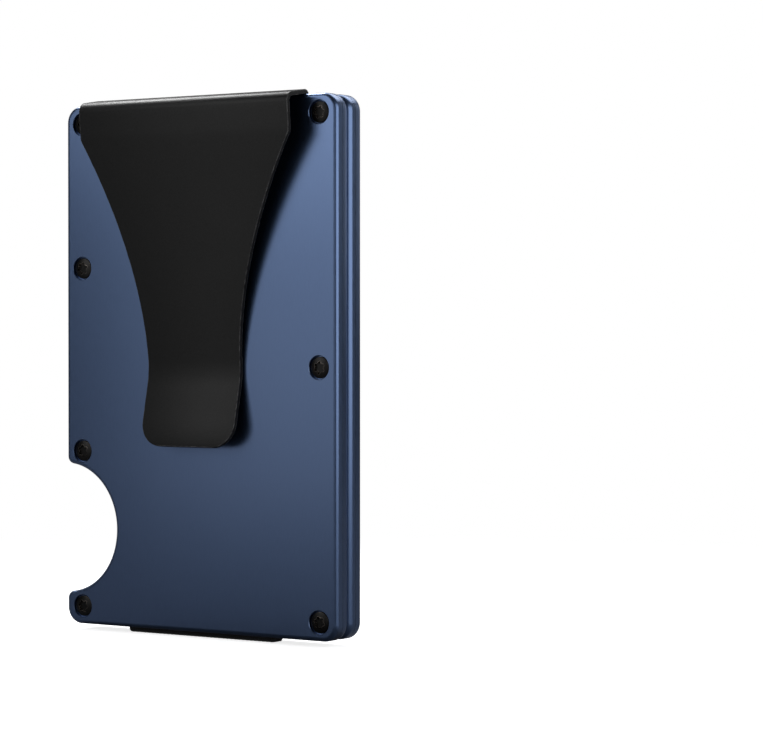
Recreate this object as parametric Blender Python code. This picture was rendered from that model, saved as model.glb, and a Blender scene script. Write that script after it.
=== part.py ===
"""Minimalist card wallet: two plated halves on elastic straps, a money clip and a tracker ring.

Metres, +Z up, the wallet standing on its bottom strap. +X is the thumb notch's side, -Y the
tracker's face (front) and +Y the money clip's face (rear). The origin lies on the underside of
the bottom strap, in the plane where the two halves meet. "Depth" is a distance from that plane,
so the front half lies at y = -depth and the rear half at y = +depth.
"""
import math

import bmesh
import bpy
from mathutils import Vector

FRONT = -1
REAR = 1

# Plates
PLATE_WIDTH = 0.0548
PLATE_HEIGHT = 0.0860
CORNER_RADIUS = 0.0027
STRAP_STAND = 0.0010
PLATE_BOTTOM = STRAP_STAND
PLATE_TOP = PLATE_BOTTOM + PLATE_HEIGHT
INNER_NEAR = 0.00003
INNER_FAR = 0.00173
OUTER_NEAR = 0.00180
FACE = 0.00350
FACE_ROUND = 0.0007
MEETING_ROUND = 0.0010

# Thumb notch
NOTCH_X = 0.0277
NOTCH_Z = PLATE_BOTTOM + 0.0160
NOTCH_RADIUS = 0.0107
NOTCH_FILLET = 0.0012

# Screws
SCREW_X = 0.0240
NOTCH_SIDE_SCREWS = (0.0830, 0.0591, 0.0288, 0.0030)
OPEN_SIDE_SCREWS = (0.0830, 0.0430, 0.0030)
HEAD_RADIUS = 0.0017
HEAD_HEIGHT = 0.00062
HEAD_CHAMFER = 0.00015
SOCKET_RADIUS = 0.0008
SOCKET_DEPTH = 0.00040
SHANK_RADIUS = 0.0010
SHANK_LENGTH = 0.0022
COUNTERBORE_RADIUS = 0.0019
COUNTERBORE_DEPTH = 0.0007
CLEARANCE_HOLE = 0.00115
THREADED_HOLE = 0.00106

# Elastic straps
STRAP_THICKNESS = 0.0008
STRAP_LEG_NEAR = 0.00092
STRAP_LEG_FAR = STRAP_LEG_NEAR + STRAP_THICKNESS - 0.00002
STRAP_LEG_LENGTH = 0.0050
STRAP_EDGE_GAP = 0.0001
END_STRAP_FROM = -0.0134
END_STRAP_TO = 0.0155
SIDE_STRAP_FROM = PLATE_BOTTOM + 0.0341
SIDE_STRAP_TO = PLATE_BOTTOM + 0.0543
POCKET_FLOOR = 0.00090
POCKET_GAP = 0.00015
PEG_RADIUS = 0.0007
PEG_HOLE_RADIUS = 0.0009
PEG_INSET = 0.0028
PEG_TOP = 0.00166

# Tracker ring and tag
TAG_Z = PLATE_BOTTOM + 0.0591
TAG_HOLE_RADIUS = 0.01615
TAG_BACK = 0.0003
RING_SCREW_X = 0.0195
RING_SEAT = 0.0010
RING_LIFT = 0.00005

# Money clip
SHEET = 0.0007
FLANGE_DEPTH = 0.00218
FLANGE_BOTTOM = PLATE_TOP - 0.0058
FLANGE_POCKET_DEPTH = 0.00257
FLANGE_POCKET_GAP = 0.0001
EAR_RADIUS = 0.0021
NECK_BOTTOM = PLATE_TOP - 0.0007
EXIT_BEND = 0.0007
EXIT_BEND_START = PLATE_TOP - 0.0003
ROOF_SLOPE = math.radians(9.0)
ROOF_LENGTH = 0.0035
HINGE_ALONG_ROOF = 0.0006
HINGE_GAP = 0.0001
FRONT_BEND = 0.00125
ARM_LEAN = math.radians(4.85)
ARM_LENGTH = 0.0407
WAIST_BEND = 0.0140
TIP_FLARE = math.radians(12.0)
TIP_LENGTH = 0.0100
TIP_CORNER = 0.0040
CLIP_HALF_WIDTH = 0.0210
WAIST_HALF_WIDTH = 0.0093
TIP_HALF_WIDTH = 0.0093
SHOULDER_Z = PLATE_BOTTOM + 0.0800
WAIST_Z = PLATE_BOTTOM + 0.0437
TIP_Z = PLATE_BOTTOM + 0.0300
SHOULDER_POWER = 1.8

# Facets
CORNER_STEPS = 5
NOTCH_STEPS = 16
EDGE_STEPS = 3
HOLE_SIDES = 12
COUNTERBORE_SIDES = 14
SCREW_SIDES = 12
PEG_SIDES = 6
TURNED_SIDES = 40
FACET_START = math.radians(4.0)
SMOOTH_ANGLE = math.radians(35.0)


def new_material(name, colour, roughness, metallic):
    """A Principled material with one colour."""
    material = bpy.data.materials.new(name)
    material.use_nodes = True
    shader = material.node_tree.nodes["Principled BSDF"]
    shader.inputs["Base Color"].default_value = (*colour, 1.0)
    shader.inputs["Roughness"].default_value = roughness
    shader.inputs["Metallic"].default_value = metallic
    return material


def new_object(name, bm, material=None, location=(0, 0, 0), parent=None):
    """Close a bmesh into an object, with its faces out and its round sides smooth."""
    bmesh.ops.recalc_face_normals(bm, faces=bm.faces)
    mesh = bpy.data.meshes.new(name)
    bm.to_mesh(mesh)
    bm.free()
    mesh.shade_smooth()
    mesh.set_sharp_from_angle(angle=SMOOTH_ANGLE)
    if material:
        mesh.materials.append(material)
    return place(name, mesh, location, parent)


def place(name, mesh, location=(0, 0, 0), parent=None):
    """Link an object that shows the mesh."""
    piece = bpy.data.objects.new(name, mesh)
    piece.location = location
    piece.parent = parent
    bpy.context.collection.objects.link(piece)
    return piece


def boolean(piece, name, bm, operation="DIFFERENCE"):
    """Cut a piece with a bmesh, or join the bmesh to it."""
    tool = new_object(f"{piece.name}_{name}", bm)
    tool.hide_render = True
    tool.display_type = "WIRE"
    modifier = piece.modifiers.new(name, "BOOLEAN")
    modifier.operation = operation
    modifier.solver = "EXACT"
    modifier.object = tool


def arc(centre, radius, start, end, steps):
    """Points on an arc, with angles in radians from +X towards +Z."""
    angles = [start + (end - start) * step / steps for step in range(steps + 1)]
    return [(centre[0] + radius * math.cos(a), centre[1] + radius * math.sin(a)) for a in angles]


def plate_outline(inset=0.0):
    """The plates' outline as (x, z) points, drawn in by inset all round."""
    right = PLATE_WIDTH / 2 - CORNER_RADIUS
    low = PLATE_BOTTOM + CORNER_RADIUS
    high = PLATE_TOP - CORNER_RADIUS
    corner = CORNER_RADIUS - inset
    quarter = math.pi / 2
    fillet_x = PLATE_WIDTH / 2 - NOTCH_FILLET
    fillet_rise = math.sqrt((NOTCH_RADIUS + NOTCH_FILLET) ** 2 - (NOTCH_X - fillet_x) ** 2)
    lean = math.atan2(fillet_rise, NOTCH_X - fillet_x)
    fillet = NOTCH_FILLET - inset
    points = arc((right, low), corner, -quarter, 0, CORNER_STEPS)
    points += arc((fillet_x, NOTCH_Z - fillet_rise), fillet, 0, lean, 3)
    notch = arc((NOTCH_X, NOTCH_Z), NOTCH_RADIUS + inset, lean - math.pi, -lean - math.pi, NOTCH_STEPS)
    points += notch[1:-1]
    points += arc((fillet_x, NOTCH_Z + fillet_rise), fillet, -lean, 0, 3)
    points += arc((right, high), corner, 0, quarter, CORNER_STEPS)
    points += arc((-right, high), corner, quarter, 2 * quarter, CORNER_STEPS)
    points += arc((-right, low), corner, 2 * quarter, 3 * quarter, CORNER_STEPS)
    return points


def extrude_levels(bm, levels):
    """Extrude a face through levels, each a y and as many (x, z) points as the first."""
    y, points = levels[0]
    first = bm.faces.new([bm.verts.new((x, y, z)) for x, z in points])
    face = first
    for y, points in levels[1:]:
        grown = bmesh.ops.extrude_face_region(bm, geom=[face])["geom"]
        if face is not first:
            bmesh.ops.delete(bm, geom=[face], context="FACES_ONLY")
        face = next(item for item in grown if isinstance(item, bmesh.types.BMFace))
        for vert, (x, z) in zip(face.verts, points):
            vert.co = (x, y, z)


def add_box(bm, low, high):
    """A box between two corners."""
    size = Vector(high) - Vector(low)
    verts = bmesh.ops.create_cube(bm, size=1.0)["verts"]
    bmesh.ops.scale(bm, vec=size, verts=verts)
    bmesh.ops.translate(bm, vec=(Vector(low) + Vector(high)) / 2, verts=verts)


def turn(bm, profile, x=0.0, z=0.0, sides=HOLE_SIDES, closed=False):
    """Turn a profile of (radius, y) points about the line along Y through (x, z)."""
    across, up = math.cos(FACET_START), math.sin(FACET_START)
    verts = [bm.verts.new((x + radius * across, y, z + radius * up)) for radius, y in profile]
    edges = [bm.edges.new(pair) for pair in zip(verts, verts[1:])]
    if closed:
        edges.append(bm.edges.new((verts[-1], verts[0])))
    bmesh.ops.spin(bm, geom=verts + edges, cent=(x, 0, z), axis=(0, 1, 0),
                   angle=2 * math.pi, steps=sides, use_merge=True)
    bmesh.ops.remove_doubles(bm, verts=bm.verts, dist=1e-7)


def add_pin(bm, radius, near, far, x, z, sides=HOLE_SIDES):
    """A closed cylinder along Y from near to far."""
    turn(bm, [(0, near), (radius, near), (radius, far), (0, far)], x, z, sides)


def add_counterbored_hole(bm, side, depths, x, z):
    """A stepped cutter: a clearance hole from the first depth, and the head's bore from the second."""
    low, seat, high = (side * depth for depth in depths)
    turn(bm, [(0, low), (CLEARANCE_HOLE, low), (CLEARANCE_HOLE, seat), (COUNTERBORE_RADIUS, seat),
              (COUNTERBORE_RADIUS, high), (0, high)], x, z, COUNTERBORE_SIDES)


def screw_places():
    """The (x, z) of the seven screws on each face."""
    notch_side = [(SCREW_X, PLATE_BOTTOM + z) for z in NOTCH_SIDE_SCREWS]
    open_side = [(-SCREW_X, PLATE_BOTTOM + z) for z in OPEN_SIDE_SCREWS]
    return notch_side + open_side


def rounded_levels(square, rounded, radius):
    """Levels of a plate from its square edge's y to its rounded edge's y."""
    inward = math.copysign(radius, square - rounded)
    levels = [(square, plate_outline())]
    for step in range(EDGE_STEPS + 1):
        angle = math.pi / 2 * step / EDGE_STEPS
        inset = radius * (1 - math.cos(angle))
        levels.append((rounded + inward * (1 - math.sin(angle)), plate_outline(inset)))
    return levels


def outer_plate(name, side, material, parent):
    """A face plate with a rounded rim and a counterbored hole for each screw."""
    bm = bmesh.new()
    extrude_levels(bm, rounded_levels(side * OUTER_NEAR, side * FACE, FACE_ROUND))
    piece = new_object(name, bm, material, parent=parent)
    holes = bmesh.new()
    for x, z in screw_places():
        add_counterbored_hole(holes, side, (INNER_NEAR, FACE - COUNTERBORE_DEPTH, 2 * FACE), x, z)
    boolean(piece, "screw_holes", holes)
    return piece


def strap_pegs(strap):
    """The (x, z) of the three pegs that hold one leg of a strap."""
    places = []
    for share in (1 / 6, 1 / 2, 5 / 6):
        if strap == "side":
            along = SIDE_STRAP_FROM + (SIDE_STRAP_TO - SIDE_STRAP_FROM) * share
            places.append((PLATE_WIDTH / 2 - PEG_INSET, along))
        else:
            along = END_STRAP_FROM + (END_STRAP_TO - END_STRAP_FROM) * share
            edge = PLATE_TOP - PEG_INSET if strap == "top" else PLATE_BOTTOM + PEG_INSET
            places.append((along, edge))
    return places


def strap_pocket(strap):
    """Low and high (x, z) corners of the pocket that takes one leg of a strap."""
    reach = STRAP_LEG_LENGTH + POCKET_GAP
    beyond = 0.001
    if strap == "side":
        edge = PLATE_WIDTH / 2
        return (edge - reach, SIDE_STRAP_FROM - POCKET_GAP), (edge + beyond, SIDE_STRAP_TO + POCKET_GAP)
    if strap == "top":
        return (END_STRAP_FROM - POCKET_GAP, PLATE_TOP - reach), (END_STRAP_TO + POCKET_GAP, PLATE_TOP + beyond)
    return ((END_STRAP_FROM - POCKET_GAP, PLATE_BOTTOM - beyond),
            (END_STRAP_TO + POCKET_GAP, PLATE_BOTTOM + reach))


def inner_plate(name, side, material, parent):
    """A backing plate, rounded where the halves meet, with strap pockets, pegs and threaded holes."""
    bm = bmesh.new()
    extrude_levels(bm, rounded_levels(side * INNER_FAR, side * INNER_NEAR, MEETING_ROUND))
    piece = new_object(name, bm, material, parent=parent)
    pockets = bmesh.new()
    pegs = bmesh.new()
    for strap in ("top", "bottom", "side"):
        low, high = strap_pocket(strap)
        depths = sorted((side * POCKET_FLOOR, side * FACE))
        add_box(pockets, (low[0], depths[0], low[1]), (high[0], depths[1], high[1]))
        for x, z in strap_pegs(strap):
            add_pin(pegs, PEG_RADIUS, side * (POCKET_FLOOR - 0.0002), side * PEG_TOP, x, z, PEG_SIDES)
    boolean(piece, "strap_pockets", pockets)
    boolean(piece, "strap_pegs", pegs, "UNION")
    holes = bmesh.new()
    for x, z in screw_places():
        add_pin(holes, THREADED_HOLE, -side * INNER_FAR, side * FACE, x, z)
    boolean(piece, "threaded_holes", holes)
    return piece


def cut_tag_hole(piece):
    """The round window that the tag sits through."""
    hole = bmesh.new()
    add_pin(hole, TAG_HOLE_RADIUS, -2 * FACE, 2 * FACE, 0, TAG_Z, TURNED_SIDES)
    boolean(piece, "tag_hole", hole)


def hexagon(angle, radius):
    """Distance from the centre to a hexagon's side at an angle, for corners at radius."""
    within = angle % (math.pi / 3) - math.pi / 6
    return radius * math.cos(math.pi / 6) / math.cos(within)


def screw_mesh(material):
    """A button screw with a hexagon socket, its seat at y = 0 and its head towards +Y."""
    angles = [2 * math.pi * side / SCREW_SIDES for side in range(SCREW_SIDES)]

    def circle(y, radius):
        return (y, [(radius * math.cos(a), radius * math.sin(a)) for a in angles])

    def socket(y):
        return (y, [(hexagon(a, SOCKET_RADIUS) * math.cos(a), hexagon(a, SOCKET_RADIUS) * math.sin(a))
                    for a in angles])

    bm = bmesh.new()
    extrude_levels(bm, [
        circle(-SHANK_LENGTH, SHANK_RADIUS),
        circle(0, SHANK_RADIUS),
        circle(0, HEAD_RADIUS),
        circle(HEAD_HEIGHT - HEAD_CHAMFER, HEAD_RADIUS),
        circle(HEAD_HEIGHT, HEAD_RADIUS - HEAD_CHAMFER),
        socket(HEAD_HEIGHT),
        socket(HEAD_HEIGHT - SOCKET_DEPTH),
    ])
    bmesh.ops.recalc_face_normals(bm, faces=bm.faces)
    mesh = bpy.data.meshes.new("button_screw")
    bm.to_mesh(mesh)
    bm.free()
    mesh.shade_smooth()
    mesh.set_sharp_from_angle(angle=SMOOTH_ANGLE)
    mesh.materials.append(material)
    return mesh


def add_screw(name, mesh, x, z, seat, side, parent=None):
    """One screw with its head outwards from the given depth."""
    screw = place(name, mesh, (x, side * seat, z), parent)
    if side == FRONT:
        screw.rotation_euler = (0, 0, math.pi)


def u_outline(strap):
    """A strap's U section as (y, out) points, out being the height above the plates' edge."""
    crown_low = STRAP_EDGE_GAP
    crown_high = STRAP_STAND if strap == "bottom" else STRAP_STAND - 0.0001
    shoulder = 0.0004
    return [
        (-STRAP_LEG_NEAR, -STRAP_LEG_LENGTH), (-STRAP_LEG_NEAR, crown_low),
        (STRAP_LEG_NEAR, crown_low), (STRAP_LEG_NEAR, -STRAP_LEG_LENGTH),
        (STRAP_LEG_FAR, -STRAP_LEG_LENGTH), (STRAP_LEG_FAR, crown_high - shoulder),
        (STRAP_LEG_FAR - shoulder, crown_high), (-STRAP_LEG_FAR + shoulder, crown_high),
        (-STRAP_LEG_FAR, crown_high - shoulder), (-STRAP_LEG_FAR, -STRAP_LEG_LENGTH),
    ]


def elastic_strap(name, strap, material):
    """A U of elastic over the halves' edge, with a punched hole for each peg."""
    bm = bmesh.new()
    if strap == "side":
        near = [(PLATE_WIDTH / 2 + out, y, SIDE_STRAP_FROM) for y, out in u_outline(strap)]
        travel = (0, 0, SIDE_STRAP_TO - SIDE_STRAP_FROM)
    else:
        edge, away = (PLATE_TOP, 1) if strap == "top" else (PLATE_BOTTOM, -1)
        near = [(END_STRAP_FROM, y, edge + away * out) for y, out in u_outline(strap)]
        travel = (END_STRAP_TO - END_STRAP_FROM, 0, 0)
    face = bm.faces.new([bm.verts.new(point) for point in near])
    grown = bmesh.ops.extrude_face_region(bm, geom=[face])["geom"]
    far = [item for item in grown if isinstance(item, bmesh.types.BMVert)]
    bmesh.ops.translate(bm, vec=travel, verts=far)
    piece = new_object(name, bm, material)
    holes = bmesh.new()
    for x, z in strap_pegs(strap):
        add_pin(holes, PEG_HOLE_RADIUS, -FACE, FACE, x, z, PEG_SIDES)
    boolean(piece, "punched_holes", holes)


def tag_ring(material):
    """The turned ring that clamps the tag: a sloped flange, a fine groove and a domed collar."""
    height = [
        (0.02200, RING_LIFT), (0.02200, 0.00100), (0.02160, 0.00140), (0.01750, 0.00245),
        (0.01732, 0.00220), (0.01710, 0.00245), (0.01685, 0.00345), (0.01615, 0.00450),
        (0.01500, 0.00505), (0.01400, 0.00520), (0.01390, 0.00478), (0.01540, 0.00392),
        (0.01615, 0.00310), (0.01615, RING_LIFT),
    ]
    bm = bmesh.new()
    turn(bm, [(radius, -h) for radius, h in height], sides=TURNED_SIDES, closed=True)
    ring = new_object("tag_ring", bm, material, (0, -FACE, TAG_Z))
    holes = bmesh.new()
    for x in (-RING_SCREW_X, RING_SCREW_X):
        add_counterbored_hole(holes, FRONT, (OUTER_NEAR, FACE + RING_SEAT, 2 * FACE), x, TAG_Z)
    boolean(ring, "screw_holes", holes)


def tag_turned(name, profile, material):
    """A turned piece of the tag, from (radius, depth) points that end on the axis or close."""
    bm = bmesh.new()
    closed = profile[0][0] > 0
    turn(bm, [(radius, -depth) for radius, depth in profile], sides=TURNED_SIDES, closed=closed)
    new_object(name, bm, material, (0, -TAG_BACK, TAG_Z))


def tracker_tag(materials):
    """The coin-shaped tag: a plastic cup, a dished metal cover, and what lies between them."""
    tag_turned("tag_shell", [
        (0.0000, 0.00012), (0.0128, 0.00012), (0.0150, 0.00075), (0.01595, 0.00300),
        (0.01595, 0.00500), (0.0147, 0.00500), (0.0143, 0.00200), (0.0125, 0.00120),
        (0.0000, 0.00120),
    ], materials["tag_shell"])
    tag_turned("tag_cover", [
        (0.0000, 0.00810), (0.0080, 0.00803), (0.0132, 0.00782), (0.0143, 0.00735), (0.0158, 0.00620),
        (0.0158, 0.00510), (0.0152, 0.00510), (0.0150, 0.00620), (0.0134, 0.00712), (0.0080, 0.00750),
        (0.0000, 0.00755),
    ], materials["tag_cover"])
    tag_turned("tag_battery", [
        (0.0000, 0.00400), (0.0088, 0.00400), (0.0090, 0.00425), (0.0100, 0.00430), (0.0100, 0.00720),
        (0.0000, 0.00720),
    ], materials["battery"])
    tag_turned("tag_board", [
        (0.0050, 0.00270), (0.0136, 0.00270), (0.0136, 0.00350), (0.0050, 0.00350),
    ], materials["board"])
    tag_turned("tag_speaker", [
        (0.0000, 0.00140), (0.0042, 0.00140), (0.0046, 0.00170), (0.0046, 0.00340), (0.0000, 0.00340),
    ], materials["speaker"])


def clip_walk():
    """Centre line of the clip's sheet above the flange, as (y, z, heading) stations by section.

    The heading is the angle of travel from +Y towards +Z. The sheet leaves the flange upwards,
    turns over the plate's top edge, slopes down as a roof, turns down the face, leans in to the
    waist and flares out again to the tip.
    """
    y, z, heading = FLANGE_DEPTH, EXIT_BEND_START, math.pi / 2
    roof = -ROOF_SLOPE
    down = -math.pi / 2 - ARM_LEAN
    flare = -math.pi / 2 + TIP_FLARE
    sections = {}

    def forward(name, length, steps):
        nonlocal y, z
        stations = [(y, z, heading)]
        for _ in range(steps):
            y += math.cos(heading) * length / steps
            z += math.sin(heading) * length / steps
            stations.append((y, z, heading))
        sections[name] = stations

    def bend(name, radius, target, steps):
        nonlocal y, z, heading
        turn_side = 1 if target > heading else -1
        centre_y = y - turn_side * radius * math.sin(heading)
        centre_z = z + turn_side * radius * math.cos(heading)
        stations = [(y, z, heading)]
        start = heading
        for step in range(1, steps + 1):
            heading = start + (target - start) * step / steps
            y = centre_y + turn_side * radius * math.sin(heading)
            z = centre_z - turn_side * radius * math.cos(heading)
            stations.append((y, z, heading))
        sections[name] = stations

    bend("exit", EXIT_BEND, roof, 6)
    forward("roof_fixed", HINGE_ALONG_ROOF, 1)
    forward("roof", ROOF_LENGTH - HINGE_ALONG_ROOF, 2)
    bend("front", FRONT_BEND, down, 6)
    forward("arm", ARM_LENGTH, 14)
    bend("waist", WAIST_BEND, flare, 4)
    forward("tip", TIP_LENGTH, 1)
    return sections


def clip_half_width(z):
    """Half the clip's width at a height: full above the shoulder, then curving in to the waist."""
    if z >= SHOULDER_Z:
        return CLIP_HALF_WIDTH
    if z >= WAIST_Z:
        share = (z - WAIST_Z) / (SHOULDER_Z - WAIST_Z)
        return WAIST_HALF_WIDTH + (CLIP_HALF_WIDTH - WAIST_HALF_WIDTH) * share ** SHOULDER_POWER
    share = (WAIST_Z - z) / (WAIST_Z - TIP_Z)
    return WAIST_HALF_WIDTH + (TIP_HALF_WIDTH - WAIST_HALF_WIDTH) * share


def sheet_strip(name, rows, material, origin, parent):
    """A bent sheet through rows of (y, z, half width), thickened evenly to both sides."""
    bm = bmesh.new()
    last = None
    for y, z, half in rows:
        pair = [bm.verts.new((x, y - origin[1], z - origin[2])) for x in (-half, half)]
        if last:
            bm.faces.new((last[0], last[1], pair[1], pair[0]))
        last = pair
    piece = new_object(name, bm, material, origin, parent)
    thicken = piece.modifiers.new("sheet", "SOLIDIFY")
    thicken.thickness = SHEET
    thicken.offset = 0.0
    thicken.use_even_offset = True
    return piece


def ear_half_width(z, gap=0.0):
    """Half the flange's width: full at its foot, rounded to follow the plate's top corners."""
    centre_x = PLATE_WIDTH / 2 - CORNER_RADIUS
    centre_z = PLATE_TOP - CORNER_RADIUS
    rise = max(0.0, z - centre_z)
    return centre_x + math.sqrt((EAR_RADIUS + gap) ** 2 - rise ** 2)


def flange_heights():
    """Heights at which the flange's outline is drawn, from its foot to its neck."""
    straight = PLATE_TOP - CORNER_RADIUS
    steps = 4
    return [FLANGE_BOTTOM] + [straight + (NECK_BOTTOM - straight) * step / steps for step in range(steps + 1)]


def clip_pieces(material, rear, arm_origin, walk):
    """The clip as two pieces: the fixed flange, and the arm that flexes past the hinge line."""
    rows = [(FLANGE_DEPTH, z, ear_half_width(z)) for z in flange_heights()]
    rows.append((FLANGE_DEPTH, NECK_BOTTOM + 0.00005, CLIP_HALF_WIDTH))
    rows += [(y, z, CLIP_HALF_WIDTH) for y, z, _ in walk["exit"]]
    end_y, end_z, heading = walk["roof_fixed"][-1]
    back = HINGE_GAP / 2
    rows.append((end_y - back * math.cos(heading), end_z - back * math.sin(heading), CLIP_HALF_WIDTH))
    mount = sheet_strip("clip_mount", rows, material, (0, 0, 0), rear)
    holes = bmesh.new()
    for x in (-SCREW_X, SCREW_X):
        add_pin(holes, CLEARANCE_HOLE, OUTER_NEAR - 0.001, FACE, x, PLATE_BOTTOM + max(OPEN_SIDE_SCREWS))
    boolean(mount, "screw_holes", holes)

    stations = []
    for section in ("roof", "front", "arm", "waist"):
        stations += walk[section][:-1]
    stations[0] = (end_y + back * math.cos(heading), end_z + back * math.sin(heading), heading)
    rows = [(y, z, clip_half_width(z)) for y, z, _ in stations]
    start_y, start_z, heading = walk["tip"][0]
    corner_steps = 5
    for step in range(corner_steps + 1):
        lean = math.pi / 2 * step / corner_steps
        along = TIP_LENGTH - TIP_CORNER * (1 - math.sin(lean))
        y = start_y + along * math.cos(heading)
        z = start_z + along * math.sin(heading)
        rows.append((y, z, TIP_HALF_WIDTH - TIP_CORNER * (1 - math.cos(lean))))
    rows.insert(-corner_steps - 1, (start_y, start_z, clip_half_width(start_z)))
    sheet_strip("clip_arm", rows, material, arm_origin, rear)


def cut_clip_pocket(piece):
    """The recess in the rear face plate that holds the clip's flange and lets it out at the top."""
    inside = OUTER_NEAR - 0.001
    gap = FLANGE_POCKET_GAP
    heights = [FLANGE_BOTTOM - gap] + [z + gap for z in flange_heights()[1:]]
    right = [(ear_half_width(z - gap, gap), z) for z in heights]
    outline = right + [(-x, z) for x, z in reversed(right)]
    ears = bmesh.new()
    extrude_levels(ears, [(inside, outline), (FLANGE_POCKET_DEPTH, outline)])
    boolean(piece, "flange_pocket", ears)
    chamfer = 0.0007
    half = CLIP_HALF_WIDTH + gap
    chamfer_start = PLATE_TOP - 0.00065
    section = [
        (inside, FLANGE_BOTTOM + gap), (FLANGE_POCKET_DEPTH, FLANGE_BOTTOM + gap),
        (FLANGE_POCKET_DEPTH, chamfer_start), (FLANGE_POCKET_DEPTH + chamfer, chamfer_start + chamfer),
        (FLANGE_POCKET_DEPTH + chamfer, PLATE_TOP + chamfer), (inside, PLATE_TOP + chamfer),
    ]
    slot = bmesh.new()
    face = slot.faces.new([slot.verts.new((-half, y, z)) for y, z in section])
    grown = bmesh.ops.extrude_face_region(slot, geom=[face])["geom"]
    far = [item for item in grown if isinstance(item, bmesh.types.BMVert)]
    bmesh.ops.translate(slot, vec=(2 * half, 0, 0), verts=far)
    boolean(piece, "exit_slot", slot)


def add_empty(name, location, parent=None):
    """A marker that moving pieces hang from."""
    empty = place(name, None, location, parent)
    empty.empty_display_size = 0.005
    return empty


def make_materials():
    """The materials, by the part of the wallet that they are on."""
    navy = (0.055, 0.085, 0.190)
    return {
        "plate": new_material("navy_anodised_plate", navy, 0.34, 0.9),
        "ring": new_material("navy_anodised_ring", navy, 0.30, 0.9),
        "clip": new_material("black_coated_steel", (0.014, 0.014, 0.014), 0.42, 0.6),
        "screw": new_material("black_screw_steel", (0.020, 0.018, 0.016), 0.35, 0.9),
        "strap": new_material("black_elastic", (0.008, 0.008, 0.009), 0.85, 0.0),
        "tag_cover": new_material("polished_cover", (0.80, 0.80, 0.81), 0.12, 1.0),
        "tag_shell": new_material("white_plastic", (0.82, 0.82, 0.82), 0.30, 0.0),
        "battery": new_material("battery_can", (0.60, 0.60, 0.58), 0.28, 1.0),
        "board": new_material("circuit_board", (0.03, 0.16, 0.07), 0.50, 0.0),
        "speaker": new_material("speaker_can", (0.45, 0.42, 0.38), 0.35, 1.0),
    }


def main():
    for old in list(bpy.data.objects):
        bpy.data.objects.remove(old)
    materials = make_materials()
    walk = clip_walk()
    hinge_y, hinge_z, _ = walk["roof_fixed"][-1]
    rear = add_empty("rear_half", (0, 0, 0))

    front_plate = outer_plate("front_outer_plate", FRONT, materials["plate"], None)
    cut_tag_hole(front_plate)
    ring_holes = bmesh.new()
    for x in (-RING_SCREW_X, RING_SCREW_X):
        add_pin(ring_holes, THREADED_HOLE, 0, -2 * FACE, x, TAG_Z)
    boolean(front_plate, "ring_screw_holes", ring_holes)
    cut_tag_hole(inner_plate("front_inner_plate", FRONT, materials["plate"], None))
    inner_plate("rear_inner_plate", REAR, materials["plate"], rear)
    cut_clip_pocket(outer_plate("rear_outer_plate", REAR, materials["plate"], rear))

    screws = screw_mesh(materials["screw"])
    seat = FACE - COUNTERBORE_DEPTH
    for number, (x, z) in enumerate(screw_places(), start=1):
        add_screw(f"front_screw_{number}", screws, x, z, seat + RING_LIFT, FRONT)
        add_screw(f"rear_screw_{number}", screws, x, z, seat + RING_LIFT, REAR, rear)
    for number, x in enumerate((-RING_SCREW_X, RING_SCREW_X), start=1):
        add_screw(f"ring_screw_{number}", screws, x, TAG_Z, FACE + RING_SEAT + RING_LIFT, FRONT)

    for strap in ("top", "bottom", "side"):
        elastic_strap(f"strap_{strap}", strap, materials["strap"])
    tag_ring(materials["ring"])
    tracker_tag(materials)
    clip_pieces(materials["clip"], rear, (0, hinge_y, hinge_z), walk)


main()
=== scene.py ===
"""Looks of the minimalist card wallet: fine plates, screws, straps, clip and tag, with their finishes.

Metres, +Z up. -Y is the tracker's face (front) and +Y the money clip's face (rear). Places come
from the frame's nodes. "Depth" is a distance from the plane where the two halves meet.
"""
import math

import bmesh
import bpy
from mathutils import Matrix, Vector


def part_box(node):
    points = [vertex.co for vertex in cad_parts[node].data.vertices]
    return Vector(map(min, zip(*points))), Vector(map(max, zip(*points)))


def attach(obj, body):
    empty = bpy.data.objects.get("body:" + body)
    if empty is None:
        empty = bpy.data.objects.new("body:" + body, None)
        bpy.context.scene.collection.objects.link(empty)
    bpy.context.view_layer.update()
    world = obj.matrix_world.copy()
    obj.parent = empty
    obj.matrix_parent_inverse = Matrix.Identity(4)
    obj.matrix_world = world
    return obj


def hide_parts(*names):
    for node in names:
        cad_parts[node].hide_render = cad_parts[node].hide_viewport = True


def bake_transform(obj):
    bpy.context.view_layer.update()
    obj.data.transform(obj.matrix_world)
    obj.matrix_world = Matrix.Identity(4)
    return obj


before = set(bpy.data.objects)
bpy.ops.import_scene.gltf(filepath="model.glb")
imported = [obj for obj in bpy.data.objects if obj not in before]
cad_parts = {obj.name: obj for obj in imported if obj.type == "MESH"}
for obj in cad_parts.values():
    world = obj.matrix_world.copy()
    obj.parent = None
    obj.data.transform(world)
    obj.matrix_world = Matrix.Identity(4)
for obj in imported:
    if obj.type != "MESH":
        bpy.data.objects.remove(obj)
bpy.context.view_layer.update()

# Sides of the wallet along Y, the distance within which points are one, and a cutter's overshoot
FRONT = -1
REAR = 1
HAIR = 1e-6
BEYOND = 0.001

# Plates
PLATE_LOW, PLATE_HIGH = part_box("rear_outer_plate")
RIGHT = PLATE_HIGH.x
BOTTOM = PLATE_LOW.z
TOP = PLATE_HIGH.z
OUTER_NEAR = PLATE_LOW.y
FACE = PLATE_HIGH.y
INNER_LOW, INNER_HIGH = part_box("rear_inner_plate")
INNER_NEAR = INNER_LOW.y
INNER_FAR = INNER_HIGH.y
CORNER_RADIUS = 0.0027
FACE_ROUND = 0.0007
MEETING_ROUND = 0.0010
EDGE_BREAK = 0.00008

# Thumb notch
NOTCH_X = 0.0277
NOTCH_Z = BOTTOM + 0.0160
NOTCH_RADIUS = 0.0107
NOTCH_FILLET = 0.0012

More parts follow.
